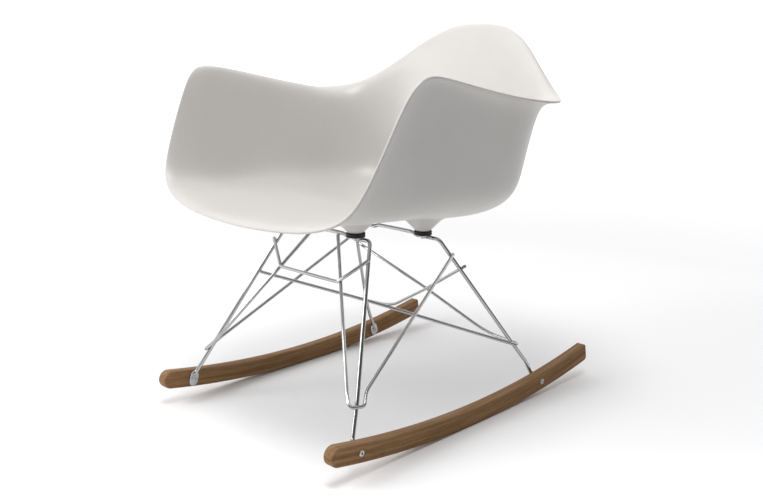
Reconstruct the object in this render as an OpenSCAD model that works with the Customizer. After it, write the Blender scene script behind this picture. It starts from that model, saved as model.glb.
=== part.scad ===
// Rocking armchair: a one-piece moulded shell on a welded, chromed wire base
// that is screwed to two curved wooden runners. It faces -Y, its left is +X,
// and it stands on z = 0. The modules measure y from the line where the runners
// touch the floor; the drawing lines at the end then move each of them back by
// centre_y, which puts the origin under the middle of the whole chair.

/* [Runners] */
// Radius of the runner's underside
rocker_radius = 1930; // [1700:10:2200]
// Distance between the two runners' inner faces
rocker_gap = 462; // [440:2:480]
// Thickness of a runner
rocker_thick = 21; // [18:1:26]
// Height of a runner's section
rocker_height = 34.6; // [30:0.1:42]
// Angle of the runner's front end from the contact line
rocker_front_deg = 11.2; // [11:0.1:13]
// Angle of the runner's rear end from the contact line
rocker_rear_deg = 10.8; // [9:0.05:11]

/* [Wire base] */
// Wire diameter of the two hoops
hoop_d = 7.5; // [6.5:0.5:8]
// Wire diameter of the struts and of the front bracket
strut_d = 6.5; // [5:0.5:7]
// Thickness of the flattened foot of a hoop
tab_thick = 3; // [2.5:0.5:4]
// Width of the flattened foot of a hoop, an oval 10 mm longer than it is wide
tab_width = 20; // [16:1:22]

/* [Mounting] */
// Diameter of a rubber pad
pad_d = 35; // [32:1:38]
// Thickness of a rubber pad
pad_thick = 8; // [6:0.5:9]
// Thickness of a mounting plate
plate_thick = 2.5; // [2:0.5:3]
// Thread diameter of the mounting screws
screw_d = 6; // [5:1:8]

/* [Shell] */
// Wall thickness of the shell
shell_t = 4.5; // [4:0.5:5.5]
// Steps of the shell's mesh round the rim
shell_steps_u = 108; // [72:36:144]
// Steps of the shell's mesh from the rim to the middle of the seat
shell_steps_v = 22; // [16:2:30]

/* [Hidden] */
$fn = 48;

face_x = rocker_gap / 2;          // inner face of a runner
mid_r = rocker_radius - rocker_height / 2;
// Bolt places along the runner, as angles from the contact line
bolt_front_deg = -9.2;
bolt_rear_deg = 5.98;

// Middle of each rubber pad's underside
pad_f = [88, -160, 357.5];
pad_r = [85, 22, 333];
// How far a pad's screw stands ahead of the crossbar
bar_back = 10;

function on_runner(a, r) = [0, r * sin(a), rocker_radius - r * cos(a)];
foot_f = on_runner(bolt_front_deg, mid_r);
foot_r = on_runner(bolt_rear_deg, mid_r);
foot_x = face_x - 0.45 - hoop_d / 2;          // wire's axis beside the runner
bar_yf = pad_f[1] + bar_back;
bar_yr = pad_r[1] + bar_back;
bar_zf = pad_f[2] - plate_thick - hoop_d / 2;
bar_zr = pad_r[2] - plate_thick - hoop_d / 2;

// ---------- wires: straight lengths joined by round bends ----------
function unit(v) = v / norm(v);
function flip(p) = [-p[0], p[1], p[2]];
function pt(q) = [q[0], q[1], q[2]];
function bend_r(q) = len(q) > 3 ? q[3] : 0;
// Length of wire used up on each side of the bend at point i
function cut(P, i) = i == 0 || i == len(P) - 1 ? 0 :
    let (a = unit(pt(P[i]) - pt(P[i - 1])), b = unit(pt(P[i + 1]) - pt(P[i])))
    bend_r(P[i]) * tan(acos(min(1, a * b)) / 2);

// Points along the wire's axis: the ends, and steps round each bend
function bend_points(P, i) = i == 0 || i == len(P) - 1 ? [pt(P[i])] :
    let (a = unit(pt(P[i]) - pt(P[i - 1])), b = unit(pt(P[i + 1]) - pt(P[i])),
        ang = acos(min(1, a * b)), r = bend_r(P[i]),
        m = cross(unit(cross(a, b)), a), c = pt(P[i]) - a * cut(P, i) + m * r,
        steps = max(2, ceil(ang / 14)))
    [for (k = [0:steps]) c + r * (a * sin(ang * k / steps) - m * cos(ang * k / steps))];
function axis_points(P) = [for (i = [0:len(P) - 1]) each bend_points(P, i)];
function heading(A, k) = unit(
    (k > 0 ? unit(A[k] - A[k - 1]) : [0, 0, 0]) +
    (k < len(A) - 1 ? unit(A[k + 1] - A[k]) : [0, 0, 0]));
// A direction across the wire, carried along it without twist
function carry(A, k, u) = k == len(A) ? [] :
    let (t = heading(A, k), v = unit(u - t * (u * t))) concat([v], carry(A, k + 1, v));

module wire(P, d) {
    n = 12;
    A = axis_points(P);
    first = heading(A, 0);
    U = carry(A, 0, abs(first[2]) > 0.9 ? [1, 0, 0] : [0, 0, 1]);
    last = len(A) - 1;
    polyhedron(convexity = 4,
        points = [for (k = [0:last]) let (w = cross(heading(A, k), U[k]))
            for (q = [0:n - 1]) A[k] + d / 2 * (U[k] * cos(360 * q / n) + w * sin(360 * q / n))],
        faces = concat([[for (q = [0:n - 1]) q]], [[for (q = [n - 1:-1:0]) last * n + q]],
            [for (k = [0:last - 1]) for (q = [0:n - 1]) let (e = (q + 1) % n) each [
                [k * n + q, (k + 1) * n + q, (k + 1) * n + e],
                [k * n + q, (k + 1) * n + e, k * n + e]]]));
}

// A list of bending points followed by its mirror image, back to front
function both_sides(P) = concat(P,
    [for (i = [len(P) - 1:-1:0]) concat(flip(P[i]), bend_r(P[i]))]);

// ---------- hoops: foot, knee, shoulder and the crossbar's raised middle ----------
hoop_f = [
    [foot_x, foot_f[1] + 3, foot_f[2] + 11],
    [206, -271, 112, 60],
    [114.6, bar_yf, bar_zf, 11],
    [58, bar_yf, bar_zf, 30],
    [46, bar_yf, bar_zf + 4.5, 30]];
hoop_r = [
    [foot_x, foot_r[1] - 3, foot_r[2] + 11],
    [223.5, 180, 69, 30],
    [207, 152.7, 112, 90],
    [118, bar_yr, bar_zr, 13],
    [58, bar_yr, bar_zr, 30],
    [46, bar_yr, bar_zr + 4.5, 30]];

module tab(foot, lean) {
    translate([face_x - tab_thick - 0.05, foot[1], foot[2]]) rotate([lean, 0, 0])
        rotate([0, 90, 0]) difference() {
            linear_extrude(tab_thick) union() {
                for (x = [-5, 5]) translate([x, 0]) circle(d = tab_width);
                translate([-5, -tab_width / 2]) square([10, tab_width]);
            }
            translate([0, 0, -5]) cylinder(h = 20, d = screw_d + 0.4);
        }
}

module hoop(P, foot, lean) {
    wire(both_sides(P), hoop_d);
    for (s = [0, 1]) mirror([s, 0, 0]) tab(foot, lean);
}

module front_hoop() color("silver") hoop(hoop_f, foot_f, -16);
module rear_hoop() color("silver") hoop(hoop_r, foot_r, 16);

// ---------- struts: each is one wire, folded round a leg just above its foot ----------
strut_f = [
    [35, -154.5, 351.5],
    [190, -280, 122, 150],
    [207.5, -292, 104, 8],
    [220.5, -268.5, 104, 8],
    [207, -251, 122, 40],
    [136.7, 53, 297.5]];
// The rear struts cross their mirror images in the middle, one above the other
function strut_r(lift) = [
    [-150, 72.5, 272],
    [0, 120.7, 189 + lift, 300],
    [138, 165, 112, 120],
    [214, 163, 109, 5],
    [217.5, 154.3, 108, 5],
    [0, -54, 196.5 + lift, 300],
    [-146.5, -194.7, 256]];
cross_lift = strut_d / 2 + 0.2;

module front_strut_left() color("silver") wire(strut_f, strut_d);
module front_strut_right() color("silver") mirror([1, 0, 0]) wire(strut_f, strut_d);
module rear_strut_left() color("silver") wire(strut_r(cross_lift), strut_d);
module rear_strut_right() color("silver") mirror([1, 0, 0]) wire(strut_r(-cross_lift), strut_d);

bracket = [[132, -170.5, 323], [80, -198, 279.5, 10]];
module front_bracket() color("silver") wire(both_sides(bracket), strut_d);

// ---------- mounting hardware ----------
module at(p, s) translate([s * p[0], p[1], p[2]]) children();
module at_pads() for (p = [pad_f, pad_r], s = [-1, 1]) at(p, s) children();

module pad() color([0.08, 0.08, 0.08]) difference() {
    rotate_extrude() polygon([[0, 0], [pad_d / 2 - 1, 0], [pad_d / 2, 1],
        [pad_d / 2, pad_thick - 1], [pad_d / 2 - 1, pad_thick], [0, pad_thick]]);
    translate([0, 0, -1]) cylinder(h = pad_thick + 2, d = screw_d + 0.6);
}
module plate() color("silver") difference() {
    translate([0, 0, -plate_thick]) linear_extrude(plate_thick) union() {
        circle(d = 24);
        translate([-12, 0]) square([24, bar_back + hoop_d / 2]);
    }
    translate([0, 0, -plate_thick - 1]) cylinder(h = plate_thick + 2, d = screw_d + 0.6);
}
module mount_pad_front_left() at(pad_f, 1) pad();
module mount_pad_front_right() at(pad_f, -1) pad();
module mount_pad_rear_left() at(pad_r, 1) pad();
module mount_pad_rear_right() at(pad_r, -1) pad();
module mount_plate_front_left() at(pad_f, 1) plate();
module mount_plate_front_right() at(pad_f, -1) plate();
module mount_plate_rear_left() at(pad_r, 1) plate();
module mount_plate_rear_right() at(pad_r, -1) plate();

insert_d = 10;
insert_h = 12;
washer_h = 1.4;
module threaded_inserts() color("goldenrod") at_pads()
    translate([0, 0, pad_thick]) difference() {
        cylinder(h = insert_h, d = insert_d);
        translate([0, 0, -1]) cylinder(h = insert_h, d = screw_d);
    }
module lock_washers() color("silver") at_pads()
    translate([0, 0, -plate_thick - washer_h]) difference() {
        cylinder(h = washer_h, d = 11);
        translate([0, 0, -1]) cylinder(h = washer_h + 2, d = screw_d + 0.4);
    }
module mount_screws() color("silver") at_pads()
    translate([0, 0, -plate_thick - washer_h]) {
        cylinder(h = plate_thick + washer_h + pad_thick + 9.5, d = screw_d);
        translate([0, 0, -4]) difference() {
            cylinder(h = 4, d = 10.5);
            translate([0, 0, -1]) cylinder(h = 3.2, d = 4, $fn = 6);
        }
    }

// ---------- shell ----------
// Each row is a line down the inside of the shell, from its rim to the seat:
// rim, rolled edge, upper wall, lower wall, corner, seat. The rows go round the
// left half from the middle of the front edge to the middle of the back.
rows = [
    [[0, -358, 396], [0, -352, 402], [0, -330, 404], [0, -280, 398], [0, -208, 390], [0, -115, 380]],   // front edge, middle
    [[76, -355, 398], [76, -350, 404], [75, -328, 405], [73, -280, 399], [68, -208, 391], [38, -115, 380]],
    [[150, -350, 403], [149, -344, 409], [146, -323, 410], [138, -276, 404], [128, -205, 396], [72, -112, 382]],
    [[213, -342, 416], [210, -335, 420], [204, -313, 420], [192, -266, 413], [178, -196, 403], [98, -104, 384]],
    [[257, -331, 441], [252, -323, 443], [245, -299, 438], [230, -250, 424], [214, -178, 409], [116, -92, 385]],   // front corner, low
    [[274, -311, 487], [269, -301, 487], [260, -272, 474], [246, -222, 438], [232, -152, 412], [125, -78, 384]],
    [[285, -282, 549], [279, -270, 548], [267, -236, 527], [250, -186, 452], [240, -122, 411], [129, -62, 382]],   // arm front edge
    [[292, -252, 610], [286, -236, 607], [271, -197, 572], [252, -148, 462], [243, -90, 408], [130, -46, 379]],
    [[303, -220, 656], [292, -192, 652], [272, -152, 596], [252, -108, 467], [244, -56, 405], [130, -30, 377]],   // arm front corner, top
    [[306, -155, 643], [287, -142, 650], [268, -107, 594], [251, -66, 466], [243, -22, 401], [129, -12, 374]],   // arm top
    [[305, -78, 626], [281, -74, 636], [263, -60, 584], [249, -22, 462], [241, 12, 398], [127, 8, 371]],
    [[300, 0, 611], [275, -6, 618], [258, -8, 574], [247, 24, 459], [239, 46, 395], [123, 28, 368]],
    [[301, 66, 600], [272, 57, 605], [254, 48, 568], [244, 70, 459], [234, 82, 392], [117, 46, 365]],
    [[325, 128, 592], [286, 121, 590], [260, 113, 556], [237, 116, 459], [221, 118, 388], [107, 62, 363]],   // arm and back corner
    [[260, 196, 601], [250, 184, 606], [235, 174, 580], [213, 162, 463], [194, 152, 385], [90, 76, 361]],
    [[189, 240, 649], [188, 225, 658], [186, 211, 600], [169, 190, 470], [154, 174, 384], [70, 88, 360]],
    [[125, 272, 704], [127, 256, 704], [126, 230, 616], [115, 203, 476], [105, 185, 384], [47, 95, 360]],
    [[62, 285, 728], [65, 274, 722], [65, 240, 626], [60, 209, 480], [54, 189, 384], [24, 99, 360]],
    [[0, 286, 729], [0, 276, 726], [0, 244, 630], [0, 211, 482], [0, 190, 384], [0, 100, 360]],   // back, top middle
];
seat_middle = [0, -12, 366];
half_n = len(rows) - 1;
net = concat([for (r = rows) concat(r, [seat_middle])],
    [for (k = [half_n - 1:-1:1]) concat([for (p = rows[k]) flip(p)], [seat_middle])]);
net_n = len(net);
knots = [0, 0, 0, 0, 0.25, 0.5, 0.75, 1, 1, 1, 1];
function basis(i, p, t) = p == 0 ? (t >= knots[i] && t < knots[i + 1] ? 1 : 0) :
    (knots[i + p] > knots[i] ?
        (t - knots[i]) / (knots[i + p] - knots[i]) * basis(i, p - 1, t) : 0) +
    (knots[i + p + 1] > knots[i + 1] ?
        (knots[i + p + 1] - t) / (knots[i + p + 1] - knots[i + 1]) * basis(i + 1, p - 1, t) : 0);

nu = shell_steps_u;
nv = shell_steps_v;
down = [for (j = [0:nv]) [for (i = [0:6]) basis(i, 3, min(j / nv, 0.999999))]];
around = [for (i = [0:nu - 1]) let (t = i * net_n / nu, k = floor(t), f = t - k)
    pow(1 - f, 3) / 6 * net[(k + net_n - 1) % net_n] +
    (3 * pow(f, 3) - 6 * pow(f, 2) + 4) / 6 * net[k % net_n] +
    (-3 * pow(f, 3) + 3 * pow(f, 2) + 3 * f + 1) / 6 * net[(k + 1) % net_n] +
    pow(f, 3) / 6 * net[(k + 2) % net_n]];
inside = [for (i = [0:nu - 1]) [for (j = [0:nv]) down[j] * around[i]]];
function normal_at(i, j) = unit(cross(
    inside[(i + 1) % nu][j] - inside[(i + nu - 1) % nu][j],
    inside[i][min(nv, j + 1)] - inside[i][max(0, j - 1)]));
outside = [for (i = [0:nu - 1]) [for (j = [0:nv - 1])
    inside[i][j] - shell_t * normal_at(i, j)]];
middle_n = unit(cross(inside[0][nv - 1] - inside[nu / 2][nv - 1],
    inside[nu / 4][nv - 1] - inside[3 * nu / 4][nv - 1]));
shell_points = concat(
    [for (j = [0:nv - 1]) for (i = [0:nu - 1]) inside[i][j]], [seat_middle],
    [for (j = [0:nv - 1]) for (i = [0:nu - 1]) outside[i][j]],
    [seat_middle - shell_t * middle_n * (middle_n[2] > 0 ? 1 : -1)],
    [for (i = [0:nu - 1]) (inside[i][0] + outside[i][0]) / 2 +
        unit(inside[i][0] - inside[i][1]) * shell_t * 0.4]);
far = nu * nv + 1;
function in_(i, j) = j * nu + i % nu;
function out_(i, j) = far + j * nu + i % nu;
function rim_(i) = 2 * far + i % nu;
shell_faces = concat(
    [for (i = [0:nu - 1]) for (j = [0:nv - 2]) each [
        [in_(i, j), in_(i, j + 1), in_(i + 1, j + 1)], [in_(i, j), in_(i + 1, j + 1), in_(i + 1, j)],
        [out_(i, j), out_(i + 1, j + 1), out_(i, j + 1)], [out_(i, j), out_(i + 1, j), out_(i + 1, j + 1)]]],
    [for (i = [0:nu - 1]) each [
        [in_(i, nv - 1), far - 1, in_(i + 1, nv - 1)],
        [out_(i, nv - 1), out_(i + 1, nv - 1), 2 * far - 1],
        [in_(i, 0), in_(i + 1, 0), rim_(i + 1)], [in_(i, 0), rim_(i + 1), rim_(i)],
        [rim_(i), rim_(i + 1), out_(i + 1, 0)], [rim_(i), out_(i + 1, 0), out_(i, 0)]]]);

// Moulded cones under the seat, cut off inside the wall along the seat's slope
boss_d = 29;
seat_f = 386.2;
seat_r = 366.7;
seat_pitch = -6.8;
seat_roll = 4.2;
module boss(p, s, seat_z) {
    at(p, s) translate([0, 0, pad_thick]) difference() {
        cylinder(h = 34, d1 = boss_d, d2 = boss_d + 68, $fn = 64);
        translate([0, 0, seat_z - p[2] - pad_thick])
            rotate([seat_pitch, -s * seat_roll, 0]) translate([-80, -80, 0])
                cube([160, 160, 60]);
    }
}

module seat_shell() color([0.87, 0.86, 0.84]) difference() {
    union() {
        polyhedron(points = shell_points, faces = shell_faces, convexity = 6);
        for (s = [-1, 1]) {
            boss(pad_f, s, seat_f);
            boss(pad_r, s, seat_r);
        }
    }
    at_pads() translate([0, 0, pad_thick - 1]) cylinder(h = insert_h + 1, d = insert_d);
}

// ---------- runners ----------
edge_r = 2;
module section() translate([rocker_radius - rocker_height, -rocker_thick / 2]) union() {
    translate([edge_r, 0]) square([rocker_height - 2 * edge_r, rocker_thick]);
    translate([0, edge_r]) square([rocker_height, rocker_thick - 2 * edge_r]);
    for (x = [edge_r, rocker_height - edge_r], y = [edge_r, rocker_thick - edge_r])
        translate([x, y]) circle(r = edge_r, $fn = 32);
}
module nose_section() difference() {
    translate([-mid_r, 0]) section();
    translate([-60, -30]) square([60, 60]);
}
nose_deg = rocker_front_deg - asin(rocker_height / 2 / mid_r);
// Half the difference between the runners' reach ahead of the contact line and behind it
centre_y = (mid_r * sin(nose_deg) + rocker_height / 2 - rocker_radius * sin(rocker_rear_deg)) / 2;
module runner(s) color([0.36, 0.26, 0.17])
    translate([s * (face_x + rocker_thick / 2), 0, rocker_radius]) difference() {
        rotate([0, 90, 0]) rotate([0, 0, -nose_deg]) union() {
            rotate_extrude(angle = nose_deg + rocker_rear_deg, $fn = 1800) section();
            translate([mid_r, 0, 0]) rotate([0, 0, 180])
                rotate_extrude(angle = 180, $fn = 96) nose_section();
        }
        for (f = [foot_f, foot_r]) translate([-50, f[1], f[2] - rocker_radius])
            rotate([0, 90, 0]) cylinder(h = 100, d = 8);
    }
module rocker_left() runner(1);
module rocker_right() runner(-1);

// ---------- runner fastenings: washer, screw and sleeve nut ----------
module at_feet() for (f = [foot_f, foot_r], s = [0, 1])
    mirror([s, 0, 0]) translate([face_x, f[1], f[2]]) rotate([0, 90, 0]) children();
module rocker_washers() color("silver") at_feet()
    translate([0, 0, -tab_thick - 1.05]) difference() {
        cylinder(h = 1, d = 12);
        translate([0, 0, -1]) cylinder(h = 3, d = screw_d + 0.3);
    }
module rocker_screws() color("silver") at_feet() {
    translate([0, 0, -tab_thick - 1.1]) cylinder(h = 16, d = screw_d - 1);
    translate([0, 0, -tab_thick - 4.05]) difference() {
        cylinder(h = 3, d = 10);
        translate([0, 0, -1]) cylinder(h = 3, d = 3.5, $fn = 6);
    }
}
module rocker_sleeve_nuts() color("silver") at_feet() difference() {
    union() {
        translate([0, 0, 3]) cylinder(h = rocker_thick - 3, d = 7.9);
        translate([0, 0, rocker_thick]) cylinder(h = 1.8, d = 11);
    }
    translate([0, 0, 2]) cylinder(h = 14, d = screw_d - 1);
}

translate([0, centre_y, 0]) seat_shell();
translate([0, centre_y, 0]) threaded_inserts();
translate([0, centre_y, 0]) mount_pad_front_left();
translate([0, centre_y, 0]) mount_pad_front_right();
translate([0, centre_y, 0]) mount_pad_rear_left();
translate([0, centre_y, 0]) mount_pad_rear_right();
translate([0, centre_y, 0]) mount_plate_front_left();
translate([0, centre_y, 0]) mount_plate_front_right();
translate([0, centre_y, 0]) mount_plate_rear_left();
translate([0, centre_y, 0]) mount_plate_rear_right();
translate([0, centre_y, 0]) mount_screws();
translate([0, centre_y, 0]) lock_washers();
translate([0, centre_y, 0]) front_hoop();
translate([0, centre_y, 0]) rear_hoop();
translate([0, centre_y, 0]) front_strut_left();
translate([0, centre_y, 0]) front_strut_right();
translate([0, centre_y, 0]) rear_strut_left();
translate([0, centre_y, 0]) rear_strut_right();
translate([0, centre_y, 0]) front_bracket();
translate([0, centre_y, 0]) rocker_left();
translate([0, centre_y, 0]) rocker_right();
translate([0, centre_y, 0]) rocker_screws();
translate([0, centre_y, 0]) rocker_washers();
translate([0, centre_y, 0]) rocker_sleeve_nuts();
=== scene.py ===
import math
import random

import bpy
import numpy as np
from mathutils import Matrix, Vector
from mathutils.bvhtree import BVHTree


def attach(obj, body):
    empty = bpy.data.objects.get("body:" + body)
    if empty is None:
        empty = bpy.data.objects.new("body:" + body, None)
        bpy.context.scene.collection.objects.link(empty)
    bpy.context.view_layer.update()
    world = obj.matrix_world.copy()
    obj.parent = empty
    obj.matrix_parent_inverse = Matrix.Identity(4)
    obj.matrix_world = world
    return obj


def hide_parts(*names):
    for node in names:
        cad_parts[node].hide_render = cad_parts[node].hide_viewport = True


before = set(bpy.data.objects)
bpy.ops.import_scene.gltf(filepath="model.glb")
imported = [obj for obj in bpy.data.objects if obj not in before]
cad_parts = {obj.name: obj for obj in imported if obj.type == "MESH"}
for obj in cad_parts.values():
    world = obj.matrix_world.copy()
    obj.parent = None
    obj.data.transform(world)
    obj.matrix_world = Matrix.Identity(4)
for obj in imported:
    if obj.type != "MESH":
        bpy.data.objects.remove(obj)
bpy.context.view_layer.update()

rnd = random.Random(7)

# Everything below is laid out in millimetres from the runners' contact line,
# and put in the row frame by place(): the origin there is under the middle of the chair.
R = 1930.0            # runner's underside
RH, RT = 34.6, 21.0   # runner's section
FACE = 231.0          # inner face of a runner
MID = R - RH / 2
REAR_DEG = 10.8
NOSE_DEG = 11.2 - math.degrees(math.asin(RH / 2 / MID))
CY = (MID * math.sin(math.radians(NOSE_DEG)) + RH / 2 - R * math.sin(math.radians(REAR_DEG))) / 2
HOOP_D, STRUT_D = 7.5, 6.5
PAD_F, PAD_R = (88.0, -160.0, 357.5), (85.0, 22.0, 333.0)
PAD_T, PLATE_T, WASHER_T = 8.0, 2.5, 1.4
SHELL_T = 4.5


def place(co):
    co = np.array(co, float)
    co[:, 1] += CY
    return co * 0.001


def make(name, verts, faces, mats, sharp=38, index=None):
    me = bpy.data.meshes.new(name)
    me.from_pydata([tuple(v) for v in place(verts)], [], [tuple(int(i) for i in f) for f in faces])
    me.validate()
    me.update()
    me.polygons.foreach_set("use_smooth", [True] * len(me.polygons))
    if sharp:
        me.set_sharp_from_angle(angle=math.radians(sharp))
    for m in mats if isinstance(mats, (list, tuple)) else [mats]:
        me.materials.append(m)
    if index is not None:
        me.polygons.foreach_set("material_index", index)
    ob = bpy.data.objects.new(name, me)
    bpy.context.scene.collection.objects.link(ob)
    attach(ob, "root")
    return ob


# ------------------------------------------------------------------ materials
class Tree:
    def __init__(self, name):
        self.mat = bpy.data.materials.new(name)
        self.mat.use_nodes = True
        self.nt = self.mat.node_tree
        self.bsdf = next(n for n in self.nt.nodes if n.type == "BSDF_PRINCIPLED")

    def node(self, kind, **kw):
        n = self.nt.nodes.new(kind)
        for k, v in kw.items():
            setattr(n, k, v)
        return n

    def link(self, a, b):
        self.nt.links.new(a, b)

    def coords(self, scale=(1, 1, 1), attribute=None):
        if attribute:
            src = self.node("ShaderNodeAttribute", attribute_name=attribute).outputs["Vector"]
        else:
            src = self.node("ShaderNodeTexCoord").outputs["Object"]
        m = self.node("ShaderNodeMapping")
        m.inputs["Scale"].default_value = scale
        self.link(src, m.inputs["Vector"])
        return m.outputs["Vector"]

    def noise(self, vec, scale, detail=3.0, rough=0.5, distortion=0.0):
        n = self.node("ShaderNodeTexNoise")
        n.inputs["Scale"].default_value = scale
        n.inputs["Detail"].default_value = detail
        n.inputs["Roughness"].default_value = rough
        n.inputs["Distortion"].default_value = distortion
        self.link(vec, n.inputs["Vector"])
        return n.outputs["Fac"]

    def ramp(self, fac, stops, interpolation="LINEAR"):
        r = self.node("ShaderNodeValToRGB")
        r.color_ramp.interpolation = interpolation
        e = r.color_ramp.elements
        while len(e) < len(stops):
            e.new(0.5)
        for el, (p, c) in zip(e, stops):
            el.position = p
            el.color = (*c, 1) if len(c) == 3 else c
        self.link(fac, r.inputs["Fac"])
        return r.outputs["Color"]

    def range(self, fac, a0, a1, b0, b1):
        m = self.node("ShaderNodeMapRange")
        for k, v in (("From Min", a0), ("From Max", a1), ("To Min", b0), ("To Max", b1)):
            m.inputs[k].default_value = v
        self.link(fac, m.inputs["Value"])
        return m.outputs["Result"]

    def math(self, op, a, b=None):
        m = self.node("ShaderNodeMath", operation=op)
        for i, v in enumerate((a, b)):
            if v is None:
                continue
            if isinstance(v, (int, float)):
                m.inputs[i].default_value = v
            else:
                self.link(v, m.inputs[i])
        return m.outputs[0]

    def mix(self, fac, a, b, blend="MIX"):
        m = self.node("ShaderNodeMix", data_type="RGBA", blend_type=blend)
        for sock, v in ((m.inputs[0], fac), (m.inputs[6], a), (m.inputs[7], b)):
            if isinstance(v, (int, float)):
                sock.default_value = v
            elif isinstance(v, tuple):
                sock.default_value = (*v, 1)
            else:
                self.link(v, sock)
        return m.outputs[2]

    def bump(self, height, strength, distance, normal=None):
        b = self.node("ShaderNodeBump")
        b.inputs["Strength"].default_value = strength
        b.inputs["Distance"].default_value = distance
        self.link(height, b.inputs["Height"])
        if normal is not None:
            self.link(normal, b.inputs["Normal"])
        return b.outputs["Normal"]

    def set(self, **kw):
        for k, v in kw.items():
            sock = self.bsdf.inputs[k.replace("_", " ")]
            if isinstance(v, (int, float)):
                sock.default_value = v
            elif isinstance(v, tuple):
                sock.default_value = (*v, 1) if len(v) == 3 and sock.type == "RGBA" else v
            else:
                self.link(v, sock)
        return self.mat


def shell_material():
    t = Tree("shell_plastic")
    v = t.coords()
    broad = t.noise(v, 7, 2, 0.5)
    cloud = t.noise(v, 60, 3, 0.55)
    fine = t.noise(v, 320, 2, 0.55)
    grain = t.noise(v, 800, 1, 0.5)
    col = t.ramp(broad, [(0.3, (0.600, 0.581, 0.555)), (0.7, (0.627, 0.610, 0.587))])
    col = t.mix(t.range(cloud, 0.35, 0.65, 0.0, 0.10), col, (0.560, 0.541, 0.515))
    # edge of the rim: painted a touch lighter, a painted highlight along the rounded rim
    edge = t.node("ShaderNodeAttribute", attribute_name="edge").outputs["Fac"]
    col = t.mix(t.math("MULTIPLY", edge, 0.35), col, (0.70, 0.69, 0.67))
    rough = t.range(broad, 0.3, 0.7, 0.33, 0.38)
    h = t.math("ADD", t.math("MULTIPLY", fine, 0.7), t.math("MULTIPLY", grain, 0.3))
    n = t.bump(h, 0.06, 0.0003)
    n = t.bump(t.noise(v, 26, 2, 0.5), 0.08, 0.0010, n)
    return t.set(Base_Color=col, Roughness=rough, Normal=n, Metallic=0.0, IOR=1.5)


def chrome_material(name="chrome_wire", base=0.50, r0=0.05, r1=0.13):
    t = Tree(name)
    v = t.coords()
    broad = t.noise(v, 30, 3, 0.5)
    haze = t.noise(v, 240, 4, 0.6)
    speck = t.noise(v, 1500, 2, 0.6)
    col = t.ramp(broad, [(0.3, (base * 0.97, base * 0.985, base)), (0.7, (base * 1.05, base * 1.05, base * 1.05))])
    col = t.mix(t.range(haze, 0.58, 0.75, 0.0, 0.25), col, (base * 0.75, base * 0.75, base * 0.76))
    rough = t.range(t.math("ADD", t.math("MULTIPLY", haze, 0.6), t.math("MULTIPLY", broad, 0.4)), 0.35, 0.65, r0, r1)
    n = t.bump(speck, 0.05, 0.0002)
    n = t.bump(t.noise(v, 90, 2, 0.5), 0.05, 0.0006, n)
    return t.set(Base_Color=col, Roughness=rough, Metallic=1.0, Normal=n)


def zinc_material(name, tint=(0.62, 0.63, 0.64), r0=0.22, r1=0.42):
    t = Tree(name)
    v = t.coords()
    a = t.noise(v, 350, 4, 0.6)
    b = t.noise(v, 2200, 2, 0.5)
    col = t.ramp(a, [(0.3, tuple(c * 0.86 for c in tint)), (0.7, tint)])
    rough = t.range(a, 0.3, 0.7, r0, r1)
    return t.set(Base_Color=col, Roughness=rough, Metallic=1.0, Normal=t.bump(b, 0.15, 0.0002))


def rubber_material():
    t = Tree("pad_rubber")
    v = t.coords()
    a = t.noise(v, 220, 3, 0.6)
    b = t.noise(v, 1600, 3, 0.6)
    col = t.ramp(a, [(0.3, (0.012, 0.012, 0.013)), (0.75, (0.030, 0.030, 0.031))])
    col = t.mix(t.range(b, 0.62, 0.8, 0.0, 0.35), col, (0.075, 0.073, 0.070))
    rough = t.range(a, 0.3, 0.7, 0.48, 0.68)
    return t.set(Base_Color=col, Roughness=rough, Normal=t.bump(b, 0.35, 0.0003), Specular_IOR_Level=0.4)


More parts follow.
